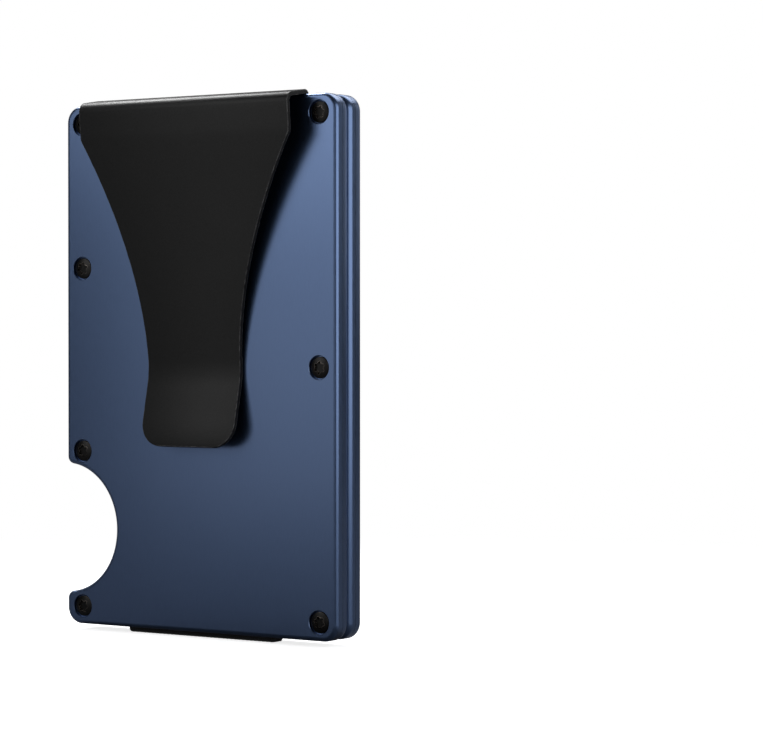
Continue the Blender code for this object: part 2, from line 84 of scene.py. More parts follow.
# Screws
HEAD_RADIUS = 0.0017
HEAD_HEIGHT = 0.00062
HEAD_DOME = 0.00026
HEAD_ROUND = 0.00008
HEAD_CHAMFER = 0.00004
SEAT_GAP = 0.00005
SHANK_RADIUS = 0.0010
SHANK_LENGTH = 0.0022
SHANK_POINT = 0.0002
THREAD_PITCH = 0.00025
THREAD_DEPTH = 0.00014
COUNTERBORE_RADIUS = 0.0019
CLEARANCE_HOLE = 0.00115
THREADED_HOLE = 0.00106
SOCKET_RADIUS = 0.00078
SOCKET_LOBE = 0.00024
SOCKET_DEPTH = 0.0004

# Elastic straps
STRAP_THICKNESS = 0.00072
STRAP_MIDDLE = 0.00131
STRAP_LEG = 0.0050
STRAP_BEND = 0.00042
RIB_PITCH = 0.0008
RIB_HEIGHT = 0.00003
POCKET_FLOOR = 0.00090
POCKET_GAP = 0.00015
PEG_RADIUS = 0.0007
PEG_HOLE = 0.0009
PEG_INSET = 0.0028
PEG_TOP = 0.00166
PEG_ROOT = 0.0002

# Tag and ring
TAG_X, _, TAG_Z = (sum(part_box("tag_ring"), Vector()) / 2)
TAG_HOLE = 0.01615
TAG_BACK = 0.0003
# The tag dish's painted reflection: the lean of its dividing line, how soft that line is, and how far the
# dark greys towards it
SPLIT_LEAN = math.radians(41.0)
SPLIT_SOFT = 0.00005
SPLIT_FADE = 0.009

# Money clip
SHEET = 0.0007
FLANGE_DEPTH = 0.00218
FLANGE_FOOT = TOP - 0.0058
FLANGE_POCKET = 0.00257
EAR_RADIUS = 0.0021
NECK = TOP - 0.0007
EXIT_BEND = 0.0007
EXIT_START = TOP - 0.0003
ROOF_HEADING = math.radians(-9.0)
ROOF_LENGTH = 0.0035
FRONT_BEND = 0.00125
ARM_LEAN = math.radians(4.85)
ARM_LENGTH = 0.0407
WAIST_BEND = 0.0140
TIP_FLARE = math.radians(12.0)
TIP_LENGTH = 0.0100
TIP_CORNER = 0.0040
CLIP_HALF = 0.0210
WAIST_HALF = 0.0093
TIP_HALF = 0.0093
SHOULDER_Z = BOTTOM + 0.0800
WAIST_Z = BOTTOM + 0.0437
TIP_Z = BOTTOM + 0.0300
SHOULDER_POWER = 1.8
SHEET_EDGE = 0.00018

# Colours
NAVY = (0.089, 0.140, 0.264)
NAVY_DEEP = (0.082, 0.129, 0.245)
NAVY_COOL = (0.097, 0.152, 0.278)
NAVY_WORN = (0.30, 0.36, 0.48)
BLACK = (0.008, 0.008, 0.008)
BLACK_LIFTED = (0.013, 0.013, 0.013)
# Painted edge highlight on the clip's black coat
BLACK_EDGE_HIGHLIGHT = (0.20, 0.20, 0.20)
STEEL = (0.03, 0.027, 0.025)
STEEL_DARK = (0.008, 0.008, 0.008)
STEEL_LIGHT = (0.022, 0.021, 0.020)
STEEL_WORN = (0.30, 0.26, 0.23)
ELASTIC = (0.010, 0.010, 0.011)
ELASTIC_DARK = (0.004, 0.004, 0.005)
ELASTIC_LIGHT = (0.028, 0.028, 0.030)
DISH = (0.8, 0.8, 0.81)
# Painted reflection on the tag's dish: dark below its line, greyer near the line, white above
DISH_REFLECTED_DARK = (0.010, 0.013, 0.020)
DISH_REFLECTED_GREY = (0.030, 0.031, 0.034)
DISH_REFLECTED_WHITE = (0.84, 0.84, 0.845)

# Camera
CAMERA_PLACE = (-0.27347, 0.35820, 0.04997)
CAMERA_YAW = math.radians(33.821)
CAMERA_PITCH = math.radians(-0.797)
CAMERA_LENS = 130.7
CAMERA_SENSOR = 36.0


# Modelling by hand

def named(name):
    """The piece just added, named."""
    piece = bpy.context.active_object
    piece.name = name
    piece.data.name = name
    return piece


def select_only(piece):
    """Select one piece and make it the active one."""
    bpy.ops.object.select_all(action="DESELECT")
    piece.select_set(True)
    bpy.context.view_layer.objects.active = piece


def pick(kind, test):
    """In edit mode, select only the verts, edges or faces that pass a test."""
    bpy.ops.mesh.select_mode(type=kind)
    bpy.ops.mesh.select_all(action="DESELECT")
    bm = bmesh.from_edit_mesh(bpy.context.object.data)
    parts = {"VERT": bm.verts, "EDGE": bm.edges, "FACE": bm.faces}[kind]
    for part in parts:
        if test(part):
            part.select_set(True)
    bm.select_flush_mode()
    bmesh.update_edit_mesh(bpy.context.object.data)


def edit(piece):
    """Open a piece in edit mode with all of it selected."""
    select_only(piece)
    bpy.ops.object.mode_set(mode="EDIT")
    bpy.ops.mesh.select_all(action="SELECT")


def close_up(piece):
    """Merge doubles, turn the faces out and leave edit mode."""
    bpy.ops.mesh.select_mode(type="VERT")
    bpy.ops.mesh.select_all(action="SELECT")
    bpy.ops.mesh.remove_doubles(threshold=2 * HAIR)
    bpy.ops.mesh.normals_make_consistent(inside=False)
    bpy.ops.object.mode_set(mode="OBJECT")
    return piece


def pen_down(name, point):
    """Begin a drawn line: a small plane pulled together into one point."""
    bpy.ops.object.select_all(action="DESELECT")
    bpy.ops.mesh.primitive_plane_add(size=0.001)
    piece = named(name)
    edit(piece)
    bpy.ops.mesh.merge(type="CENTER")
    bpy.ops.transform.translate(value=point)
    return piece


def pen_point():
    """Where the pen is: the drawn line's selected end."""
    bm = bmesh.from_edit_mesh(bpy.context.object.data)
    return next(vert.co.copy() for vert in bm.verts if vert.select)


def line_to(point, steps=1):
    """Draw a straight line from the pen to a point."""
    travel = (Vector(point) - pen_point()) / steps
    for _ in range(steps):
        bpy.ops.mesh.extrude_vertices_move(TRANSFORM_OT_translate={"value": travel})


def arc_by(centre, angle, axis, steps):
    """Draw an arc from the pen about a centre. The spin tool counts its angle the other way round."""
    bpy.ops.mesh.spin(steps=steps, angle=-angle, center=centre, axis=axis, use_auto_merge=False)


def raise_by(travel):
    """Extrude the selected faces or edges."""
    bpy.ops.mesh.extrude_region_move(TRANSFORM_OT_translate={"value": travel})


def smooth(piece, degrees=30):
    """Shade a piece smooth up to an angle."""
    select_only(piece)
    bpy.ops.object.shade_smooth_by_angle(angle=math.radians(degrees), keep_sharp_edges=False)
    return piece


def combine(piece, tool, operation="DIFFERENCE"):
    """Cut a piece with a tool, or join the tool to it, and take the tool away."""
    select_only(piece)
    modifier = piece.modifiers.new(operation.lower(), "BOOLEAN")
    modifier.operation = operation
    modifier.solver = "EXACT"
    modifier.object = tool
    bpy.ops.object.modifier_apply(modifier=modifier.name)
    bpy.data.objects.remove(tool)
    return piece


def gather(name, pieces):
    """Join pieces into one mesh."""
    bpy.ops.object.select_all(action="DESELECT")
    for piece in pieces:
        piece.select_set(True)
    bpy.context.view_layer.objects.active = pieces[0]
    bpy.ops.object.join()
    return named(name)


def copy_of(piece, name, offset, turn=Matrix()):
    """A copy with its own mesh, turned about the origin and then moved."""
    mesh = piece.data.copy()
    mesh.name = name
    mesh.transform(Matrix.Translation(offset) @ turn)
    twin = bpy.data.objects.new(name, mesh)
    bpy.context.collection.objects.link(twin)
    return twin


def turned(name, section, x=0.0, z=0.0, steps=96):
    """Turn a half section about a line along Y.

    The section is (radius, y, rounding) points. It starts and ends on the axis, or closes.
    """
    first = section[0]
    piece = pen_down(name, (x + first[0], first[1], z))
    for radius, y, _ in section[1:]:
        line_to((x + radius, y, z))
    if first[0] > 0:
        line_to((x + first[0], first[1], z))
    bpy.ops.mesh.select_all(action="SELECT")
    bpy.ops.mesh.remove_doubles(threshold=HAIR)
    for rounding in sorted({row[2] for row in section if row[2]}):
        spots = [Vector((x + radius, y, z)) for radius, y, own in section if own == rounding]
        pick("VERT", lambda vert: any((vert.co - spot).length < HAIR for spot in spots))
        bpy.ops.mesh.bevel(offset=rounding, segments=5, affect="VERTICES", clamp_overlap=True)
    bpy.ops.mesh.select_all(action="SELECT")
    bpy.ops.mesh.spin(steps=steps, angle=math.tau, center=(x, 0, z), axis=(0, 1, 0))
    return close_up(piece)


def rod(name, radius, near, far, x, z, sides=48):
    """A plain rod along Y."""
    bpy.ops.object.select_all(action="DESELECT")
    bpy.ops.mesh.primitive_cylinder_add(vertices=sides, radius=radius, depth=abs(far - near),
                                        location=(x, (near + far) / 2, z),
                                        rotation=(math.pi / 2, 0, 0))
    piece = named(name)
    bpy.ops.object.transform_apply(location=True, rotation=True, scale=True)
    return piece


def block(name, low, high):
    """A block between two corners."""
    low, high = Vector(low), Vector(high)
    bpy.ops.object.select_all(action="DESELECT")
    bpy.ops.mesh.primitive_cube_add(size=1.0, location=(low + high) / 2, scale=high - low)
    piece = named(name)
    bpy.ops.object.transform_apply(location=True, rotation=True, scale=True)
    return piece


def fit_out(piece, material, body, slot, *nodes):
    """Give a finished piece its finish, its body and the nodes that it stands for."""
    piece.data.materials.clear()
    piece.data.materials.append(material)
    if body:
        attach(piece, body)
    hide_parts(*nodes)
    return piece


# Plates

def draw_plate(name, y):
    """A plate's outline, with round corners and the thumb notch, filled at a depth."""
    across = (0, -1, 0)
    quarter = math.pi / 2
    fillet_x = RIGHT - NOTCH_FILLET
    rise = math.sqrt((NOTCH_RADIUS + NOTCH_FILLET) ** 2 - (NOTCH_X - fillet_x) ** 2)
    lean = math.atan2(rise, NOTCH_X - fillet_x)
    inner = RIGHT - CORNER_RADIUS
    low = BOTTOM + CORNER_RADIUS
    high = TOP - CORNER_RADIUS
    fillet_steps, notch_steps, corner_steps = 8, 56, 12
    piece = pen_down(name, (RIGHT, y, low))
    line_to((RIGHT, y, NOTCH_Z - rise))
    arc_by((fillet_x, y, NOTCH_Z - rise), lean, across, fillet_steps)
    arc_by((NOTCH_X, y, NOTCH_Z), -2 * lean, across, notch_steps)
    arc_by((fillet_x, y, NOTCH_Z + rise), lean, across, fillet_steps)
    line_to((RIGHT, y, high))
    arc_by((inner, y, high), quarter, across, corner_steps)
    line_to((-inner, y, TOP))
    arc_by((-inner, y, high), quarter, across, corner_steps)
    line_to((-RIGHT, y, low))
    arc_by((-inner, y, low), quarter, across, corner_steps)
    line_to((inner, y, BOTTOM))
    arc_by((inner, y, low), quarter, across, corner_steps)
    bpy.ops.mesh.select_all(action="SELECT")
    bpy.ops.mesh.remove_doubles(threshold=HAIR)
    bpy.ops.mesh.select_all(action="SELECT")
    bpy.ops.mesh.edge_face_add()
    return piece


def round_rim(y, radius, segments):
    """Round the outline's edges at a depth."""
    pick("EDGE", lambda edge: all(abs(vert.co.y - y) < HAIR for vert in edge.verts))
    bpy.ops.mesh.bevel(offset=radius, segments=segments, affect="EDGES", clamp_overlap=False)


def screw_nodes(half):
    """The names of the seven screws on one half."""
    return [f"{half}_screw_{number}" for number in range(1, 8)]


def middle(node):
    """The middle of a node's box."""
    low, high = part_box(node)
    return (low + high) / 2


def seat_of(node):
    """Depth of the seat under a screw's head."""
    low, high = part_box(node)
    return max(-low.y, high.y) - HEAD_HEIGHT - SEAT_GAP


def counterbore(name, side, x, z, through, seat, rim, out):
    """A stepped cutter with a broken edge: clearance up to the seat, then room for the head."""
    edge = EDGE_BREAK
    return turned(name, [
        (0, side * through, 0), (CLEARANCE_HOLE, side * through, 0), (CLEARANCE_HOLE, side * seat, 0),
        (COUNTERBORE_RADIUS, side * seat, 0), (COUNTERBORE_RADIUS, side * (rim - edge), 0),
        (COUNTERBORE_RADIUS + 2 * edge, side * (rim + edge), 0),
        (COUNTERBORE_RADIUS + 2 * edge, side * out, 0), (0, side * out, 0),
    ], x, z, 40)


def face_plate(name, side, half):
    """An outer plate: rounded rim, flat face and counterbored screw holes."""
    piece = draw_plate(name, side * OUTER_NEAR)
    raise_by((0, side * (FACE - OUTER_NEAR), 0))
    round_rim(side * FACE, FACE_ROUND, 7)
    pick("FACE", lambda face: face.calc_center_median().y * side > FACE - HAIR)
    bpy.ops.mesh.inset(thickness=EDGE_BREAK)
    close_up(piece)
    holes = []
    for node in screw_nodes(half):
        spot = middle(node)
        holes.append(counterbore(node + "_hole", side, spot.x, spot.z, INNER_NEAR, seat_of(node),
                                 FACE, 2 * FACE))
    return combine(piece, gather("holes", holes))


def strap_frame(strap):
    """How a strap lies: where it starts, which way it runs, which way is out, and its width."""
    low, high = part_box(f"strap_{strap}")
    if strap == "side":
        return Vector((RIGHT, 0, low.z)), Vector((0, 0, 1)), Vector((1, 0, 0)), high.z - low.z
    if strap == "top":
        return Vector((low.x, 0, TOP)), Vector((1, 0, 0)), Vector((0, 0, 1)), high.x - low.x
    return Vector((low.x, 0, BOTTOM)), Vector((1, 0, 0)), Vector((0, 0, -1)), high.x - low.x


def peg_spots(strap):
    """The three places where pegs hold a strap's leg."""
    start, along, out, width = strap_frame(strap)
    return [start + along * width * share - out * PEG_INSET for share in (1 / 6, 1 / 2, 5 / 6)]


def backing_plate(name, side, half):
    """An inner plate: rounded where the halves meet, with strap pockets, pegs and threaded holes."""
    piece = draw_plate(name, side * INNER_FAR)
    raise_by((0, side * (INNER_NEAR - INNER_FAR), 0))
    round_rim(side * INNER_NEAR, MEETING_ROUND, 8)
    close_up(piece)
    pegs = []
    for strap in ("top", "bottom", "side"):
        start, along, out, width = strap_frame(strap)
        start = start - along * POCKET_GAP - out * (STRAP_LEG + POCKET_GAP)
        end = start + along * (width + 2 * POCKET_GAP) + out * (STRAP_LEG + POCKET_GAP + BEYOND)
        corners = zip(start, end)
        lows, highs = zip(*((min(pair), max(pair)) for pair in corners))
        depths = sorted((side * POCKET_FLOOR, side * FACE))
        combine(piece, block("pocket", (lows[0], depths[0], lows[2]), (highs[0], depths[1], highs[2])))
        for spot in peg_spots(strap):
            pegs.append(rod("peg", PEG_RADIUS, side * (POCKET_FLOOR - PEG_ROOT), side * PEG_TOP,
                            spot.x, spot.z, 24))
    combine(piece, gather("pegs", pegs), "UNION")
    holes = []
    for node in screw_nodes(half):
        spot = middle(node)
        holes.append(rod("hole", THREADED_HOLE, -side * INNER_FAR, side * FACE, spot.x, spot.z, 32))
    return combine(piece, gather("holes", holes))


def tag_window(piece):
    """Cut the round window that the tag sits through."""
    return combine(piece, rod("window", TAG_HOLE, -2 * FACE, 2 * FACE, TAG_X, TAG_Z, 128))


def ring_screw_nodes():
    """The names of the two screws that hold the ring."""
    return ["ring_screw_1", "ring_screw_2"]


def plates(finish):
    """The four plates, each with its own holes, window or pocket."""
    front_face = face_plate("front_face_plate", FRONT, "front")
    tag_window(front_face)
    holes = [rod("hole", THREADED_HOLE, 0, -2 * FACE, middle(node).x, TAG_Z, 32)
             for node in ring_screw_nodes()]
    combine(front_face, gather("ring_holes", holes))
    front_backing = tag_window(backing_plate("front_backing_plate", FRONT, "front"))
    rear_backing = backing_plate("rear_backing_plate", REAR, "rear")
    rear_face = clip_pocket(face_plate("rear_face_plate", REAR, "rear"))
    for piece, body, node in ((front_face, "front_half", "front_outer_plate"),
                              (front_backing, "front_half", "front_inner_plate"),
                              (rear_backing, "rear_half", "rear_inner_plate"),
                              (rear_face, "rear_half", "rear_outer_plate")):
        fit_out(smooth(piece), finish, body, "plate", node)


# Screws

def button_screw():
    """A button screw with a star socket, its seat at the origin and its head towards +Y."""
    shank = [(SHANK_RADIUS, 0.0, 0)]
    turns = int(SHANK_LENGTH / THREAD_PITCH)
    for number in range(turns):
        low = -(number + 0.5) * THREAD_PITCH
        shank += [(SHANK_RADIUS - THREAD_DEPTH, low, 0), (SHANK_RADIUS, low - THREAD_PITCH / 2, 0)]
    dome = [(radius, HEAD_HEIGHT - (radius / HEAD_RADIUS) ** 2 * HEAD_DOME, 0)
            for radius in (HEAD_RADIUS * step / 8 for step in range(8))]
    head = dome + [
        (HEAD_RADIUS, HEAD_HEIGHT - HEAD_DOME, HEAD_ROUND), (HEAD_RADIUS, HEAD_CHAMFER, 0),
        (HEAD_RADIUS - HEAD_CHAMFER, 0.0, 0),
    ]
    end = [(SHANK_RADIUS - SHANK_POINT, -SHANK_LENGTH, 0), (0, -SHANK_LENGTH, 0)]
    screw = turned("button_screw", head + shank + end, steps=48)
    socket_floor = HEAD_HEIGHT - SOCKET_DEPTH
    lobes = 6
    combine(screw, rod("socket", SOCKET_RADIUS, socket_floor, 2 * HEAD_HEIGHT, 0, 0, 36))
    for lobe in range(lobes):
        angle = math.tau * lobe / lobes
        x, z = SOCKET_RADIUS * math.cos(angle), SOCKET_RADIUS * math.sin(angle)
        combine(screw, rod("lobe", SOCKET_LOBE, socket_floor, 2 * HEAD_HEIGHT, x, z, 18))
    return smooth(screw)


def screws(finish):
    """Sixteen screws from one, each turned its own way as they would be driven home."""
    model = button_screw()
    turn_each = math.radians(137.5)
    groups = [(screw_nodes("front") + ring_screw_nodes(), FRONT, "front_half"),
              (screw_nodes("rear"), REAR, "rear_half")]
    for nodes, side, body in groups:
        for number, node in enumerate(nodes):
            low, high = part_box(node)
            seat = low.y + HEAD_HEIGHT if side == FRONT else high.y - HEAD_HEIGHT
            spot = Vector((middle(node).x, seat, middle(node).z))
            turn = Matrix.Rotation(turn_each * number, 4, "Y")
            if side == FRONT:
                turn = Matrix.Rotation(math.pi, 4, "Z") @ turn
            fit_out(copy_of(model, "fine_" + node, spot, turn), finish, body, "screw", node)
    bpy.data.objects.remove(model)


# Elastic straps

def strap(name, finish):
    """A U of ribbed elastic over both halves' edges, with a punched hole for each peg."""
    start, along, out, width = strap_frame(name)
    reach = max((corner - start).dot(out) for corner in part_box(f"strap_{name}"))
    crown = out * (reach - STRAP_THICKNESS / 2 - RIB_HEIGHT)
    side = Vector((0, 1, 0))
    leg = side * STRAP_MIDDLE
    shoulder = side * (STRAP_MIDDLE - STRAP_BEND)
    turn_up = out * STRAP_BEND
    axis = side.cross(out)
    foot = -out * STRAP_LEG
    piece = pen_down(f"elastic_{name}", start - leg + foot)
    line_to(start - leg + crown - turn_up, 10)
    arc_by(start - shoulder + crown - turn_up, -math.pi / 2, axis, 6)
    line_to(start + shoulder + crown, 14)
    arc_by(start + shoulder + crown - turn_up, -math.pi / 2, axis, 6)
    line_to(start + leg + foot, 10)
    bpy.ops.mesh.select_all(action="SELECT")
    columns = 2 * round(width / RIB_PITCH)
    for _ in range(columns):
        raise_by(along * width / columns)
    close_up(piece)
    thicken(piece, STRAP_THICKNESS)
    edit(piece)
    pick("VERT", lambda vert: round((vert.co - start).dot(along) / width * columns) % 2)
    bpy.ops.transform.shrink_fatten(value=RIB_HEIGHT)
    bpy.ops.object.mode_set(mode="OBJECT")
    holes = [rod("hole", PEG_HOLE, -FACE, FACE, spot.x, spot.z, 24) for spot in peg_spots(name)]
    combine(piece, gather("holes", holes))
    fit_out(smooth(piece, 60), finish, None, "strap", f"strap_{name}")
    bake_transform(piece)


def thicken(piece, thickness):
    """Give a sheet its thickness, evenly to both sides."""
    select_only(piece)
    modifier = piece.modifiers.new("thicken", "SOLIDIFY")
    modifier.thickness = thickness
    modifier.offset = 0.0
    modifier.use_even_offset = True
    bpy.ops.object.modifier_apply(modifier=modifier.name)


# Money clip

def clip_pocket(piece):
    """Cut the rear face plate's recess for the clip's flange, and its way out at the top."""
    gap = POCKET_GAP
    inside = OUTER_NEAR - BEYOND
    across = (0, -1, 0)
    inner = RIGHT - CORNER_RADIUS
    corner = TOP - CORNER_RADIUS
    ear = EAR_RADIUS + gap
    climb = math.asin((NECK + gap - corner) / ear)
    recess = pen_down("recess", (inner + ear, inside, FLANGE_FOOT - gap))
    line_to((inner + ear, inside, corner))
    arc_by((inner, inside, corner), climb, across, 10)
    line_to((-inner - ear * math.cos(climb), inside, NECK + gap))
    arc_by((-inner, inside, corner), climb, across, 10)
    line_to((-inner - ear, inside, FLANGE_FOOT - gap))
    fill_and_raise((0, FLANGE_POCKET - inside, 0))
    combine(piece, close_up(recess))
    half = CLIP_HALF + gap
    lead = 0.0007
    slot = pen_down("slot", (-half, inside, FLANGE_FOOT + gap))
    line_to((-half, FLANGE_POCKET, FLANGE_FOOT + gap))
    line_to((-half, FLANGE_POCKET, TOP - lead))
    line_to((-half, FLANGE_POCKET + 2 * lead, TOP + lead))
    line_to((-half, inside, TOP + lead))
    fill_and_raise((2 * half, 0, 0))
    return combine(piece, close_up(slot))


def fill_and_raise(travel):
    """Close the drawn line with a face and extrude it."""
    bpy.ops.mesh.select_all(action="SELECT")
    bpy.ops.mesh.edge_face_add()
    raise_by(travel)


def bend(heading, radius, angle, steps):
    """Draw a bend in the clip's side view, and give the new heading.

    A positive angle turns from +Y to +Z.
    """
    side = math.copysign(radius, angle)
    centre = pen_point() + Vector((0, -side * math.sin(heading), side * math.cos(heading)))
    arc_by(centre, angle, (1, 0, 0), steps)
    return heading + angle


def forward(heading, length, steps=1):
    """Draw a straight run in the clip's side view."""
    line_to(pen_point() + Vector((0, math.cos(heading), math.sin(heading))) * length, steps)


def clip_half_width(spot, end):
    """Half the clip's width at a place on its centre line."""
    if spot.y < FLANGE_DEPTH + HAIR and spot.z < NECK + HAIR:
        rise = max(0.0, spot.z - (TOP - CORNER_RADIUS))
        return RIGHT - CORNER_RADIUS + math.sqrt(EAR_RADIUS ** 2 - rise ** 2)
    if spot.z >= SHOULDER_Z:
        return CLIP_HALF
    if spot.z >= WAIST_Z:
        share = (spot.z - WAIST_Z) / (SHOULDER_Z - WAIST_Z)
        return WAIST_HALF + (CLIP_HALF - WAIST_HALF) * share ** SHOULDER_POWER
    half = WAIST_HALF + (TIP_HALF - WAIST_HALF) * (WAIST_Z - spot.z) / (WAIST_Z - TIP_Z)
    left = min(TIP_CORNER, (end - spot).length)
    return half - TIP_CORNER + math.sqrt(TIP_CORNER ** 2 - (TIP_CORNER - left) ** 2)


def money_clip(finish):
    """One bent sheet: flange with ears, roof, arm, waist and tip."""
    corner = TOP - CORNER_RADIUS
    up = math.pi / 2
    ear_step = 0.00005
    piece = pen_down("money_clip", (-CLIP_HALF, FLANGE_DEPTH, FLANGE_FOOT))
    forward(up, corner - FLANGE_FOOT)
    forward(up, NECK - corner, 10)
    forward(up, ear_step)
    forward(up, EXIT_START - NECK - ear_step)
    heading = bend(up, EXIT_BEND, ROOF_HEADING - up, 10)
    forward(heading, ROOF_LENGTH, 6)
    heading = bend(heading, FRONT_BEND, -up - ARM_LEAN - heading, 12)
    forward(heading, ARM_LENGTH, 44)
    heading = bend(heading, WAIST_BEND, ARM_LEAN + TIP_FLARE, 10)
    forward(heading, TIP_LENGTH - TIP_CORNER, 8)
    corner_steps = 9
    for step in range(corner_steps):
        angle = math.pi / 2 * step / corner_steps
        ahead = math.pi / 2 * (step + 1) / corner_steps
        forward(heading, TIP_CORNER * (math.sin(ahead) - math.sin(angle)))
    end = pen_point()
    spots = [vert.co.copy() for vert in bmesh.from_edit_mesh(piece.data).verts]
    bpy.ops.mesh.select_all(action="SELECT")
    raise_by((2 * CLIP_HALF, 0, 0))
    for spot in spots:
        pick("VERT", lambda vert: math.dist(vert.co.yz, spot.yz) < HAIR)
        bpy.ops.transform.resize(value=(clip_half_width(spot, end) / CLIP_HALF, 1, 1),
                                 center_override=(0, spot.y, spot.z))
    close_up(piece)
    thicken(piece, SHEET)
    holes = [rod("hole", CLEARANCE_HOLE, OUTER_NEAR - BEYOND, FACE, middle(node).x, middle(node).z, 32)
             for node in screw_nodes("rear") if middle(node).z > FLANGE_FOOT]
    combine(piece, gather("holes", holes))
    edit(piece)
    pick("EDGE", lambda edge: edge.calc_face_angle(0) > math.radians(50))
    bpy.ops.mesh.bevel(offset=SHEET_EDGE, segments=3, affect="EDGES", clamp_overlap=True)
    close_up(piece)
    fit_out(smooth(piece), finish, None, "clip", "clip_mount", "clip_arm")
    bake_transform(piece)


# Tag and ring

def tag_ring(finish):
    """The turned ring that clamps the tag: rounded rim, sloped flange, fine groove, domed collar."""
    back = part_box("tag_ring")[1].y
    above_flange = FACE + 0.003
    # Radius, height over the ring's back, and rounding
    section = [
        (0.02200, 0.00000, 0), (0.02200, 0.00095, 0.00025), (0.02160, 0.00135, 0.00015),
        (0.01750, 0.00240, 0.00006), (0.01732, 0.00215, 0.00004), (0.01710, 0.00240, 0.00006),
        (0.01685, 0.00340, 0.00045), (0.01615, 0.00445, 0.00055), (0.01500, 0.00500, 0.0005),
        (0.01400, 0.00515, 0.00008), (0.01390, 0.00473, 0.00006), (0.01540, 0.00387, 0.0002),
        (0.01615, 0.00305, 0.0001), (0.01615, 0.00000, 0),
    ]
    section = [(radius, back - height, rounding) for radius, height, rounding in section]
    ring = turned("clamp_ring", section, TAG_X, TAG_Z, 160)
    holes = [counterbore("hole", FRONT, middle(node).x, TAG_Z, OUTER_NEAR, seat_of(node),
                         above_flange, 3 * FACE) for node in ring_screw_nodes()]
    combine(ring, gather("holes", holes))
    fit_out(smooth(ring), finish, "front_half", "ring", "tag_ring")


def tag(finishes):
    """The coin-shaped tag: dished cover, white cup, coin cell, board with its chips, and speaker."""
    dome = 0.311  # radius of the dish's curve
    crown = [(radius, -0.0081 + radius ** 2 / (2 * dome), 0) for radius in
             (0.0132 * step / 6 for step in range(7))]
    hollow = [(radius, -0.0075 + radius ** 2 / (2 * dome), 0) for radius in
              (0.0125 * step / 4 for step in range(4, -1, -1))]
    cover = crown + [(0.0143, -0.00735, 0.0005), (0.0158, -0.0062, 0.0004), (0.0158, -0.0051, 0.0001),
                     (0.0152, -0.0051, 0.0001), (0.0150, -0.0062, 0.0003)] + hollow
    cup = [(0, -0.00012, 0), (0.0128, -0.00012, 0.0008), (0.0150, -0.00075, 0.0006),
           (0.01595, -0.0030, 0.0006), (0.01595, -0.0050, 0.0002), (0.0147, -0.0050, 0.0002),
           (0.0143, -0.0020, 0.0004), (0.0125, -0.0012, 0.0004), (0, -0.0012, 0)]
    cell = [(0, -0.0040, 0), (0.0088, -0.0040, 0.00008), (0.0090, -0.00425, 0.00006),
            (0.0100, -0.0043, 0.0002), (0.0100, -0.0072, 0.0003), (0, -0.0072, 0)]
    can = [(0, -0.0014, 0), (0.0030, -0.0014, 0), (0.0032, -0.0016, 0.00005), (0.0042, -0.0016, 0.0001),
           (0.0046, -0.0018, 0.0001), (0.0046, -0.0034, 0.0001), (0, -0.0034, 0)]
    board = [(0.0050, -0.0027, 0.00005), (0.0136, -0.0027, 0.00005), (0.0136, -0.0035, 0.00005),
             (0.0050, -0.0035, 0.00005)]
    for name, section, node, slot, steps in (
            ("tag_cover_painted_reflection", cover, "tag_cover", "tag_cover", 160),
            ("tag_cup", cup, "tag_shell", "tag_shell", 128),
            ("coin_cell", cell, "tag_battery", "battery", 96),
            ("speaker_can", can, "tag_speaker", "speaker", 64),
            ("round_board", board, "tag_board", "board", 96)):
        section = [(radius, y - TAG_BACK, rounding) for radius, y, rounding in section]
        piece = smooth(turned(name, section, TAG_X, TAG_Z, steps))
        fit_out(piece, finishes[slot], "front_half", slot, node)
    board_chips(finishes["chip"])


def board_chips(finish):
    """Small black packages set round the board's face."""
    chips = []
    for number, (size, reach) in enumerate(((0.0034, 0.0095), (0.0016, 0.0088), (0.0022, 0.0112),
                                            (0.0010, 0.0075), (0.0012, 0.0120), (0.0026, 0.0092),
                                            (0.0010, 0.0110), (0.0018, 0.0080))):
        angle = math.tau * number / 8
        x, z = TAG_X + reach * math.cos(angle), TAG_Z + reach * math.sin(angle)
        low, high = -0.00385 - TAG_BACK, -0.0036 - TAG_BACK
        chip = block("chip", (x - size / 2, low, z - size / 2), (x + size / 2, high, z + size / 2))
        edit(chip)
        bpy.ops.mesh.bevel(offset=0.00006, segments=2, affect="EDGES")
        chips.append(close_up(chip))
    piece = gather("board_chips", chips)
    piece.data.materials.append(finish)
    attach(smooth(piece), "front_half")


# Finishes

def effect(name, inputs, outputs):
    """A node group with named inputs and outputs."""
    tree = bpy.data.node_groups.new(name, "ShaderNodeTree")
    for title, value in inputs.items():
        kind = "NodeSocketVector" if isinstance(value, tuple) else "NodeSocketFloat"
        socket = tree.interface.new_socket(title, in_out="INPUT", socket_type=kind)
        socket.default_value = value
    for title, kind in outputs.items():
        tree.interface.new_socket(title, in_out="OUTPUT", socket_type="NodeSocket" + kind)
    return tree


def add(tree, kind, inputs=None, **settings):
    """A node with its settings, and its inputs set or linked."""
    made = tree.nodes.new("ShaderNode" + kind)
    for key, value in settings.items():
        setattr(made, key, value)
    for key, value in (inputs or {}).items():
        if isinstance(value, bpy.types.NodeSocket):
            tree.links.new(value, made.inputs[key])
        else:
            made.inputs[key].default_value = value
    return made


def place(tree, group, **inputs):
    """A node group placed in a material, with its own values."""
    made = tree.nodes.new("ShaderNodeGroup")
    made.node_tree = group
    for key, value in inputs.items():
        socket = made.inputs[key.capitalize()]
        if isinstance(value, bpy.types.NodeSocket):
            tree.links.new(value, socket)
        else:
            socket.default_value = value
    return made


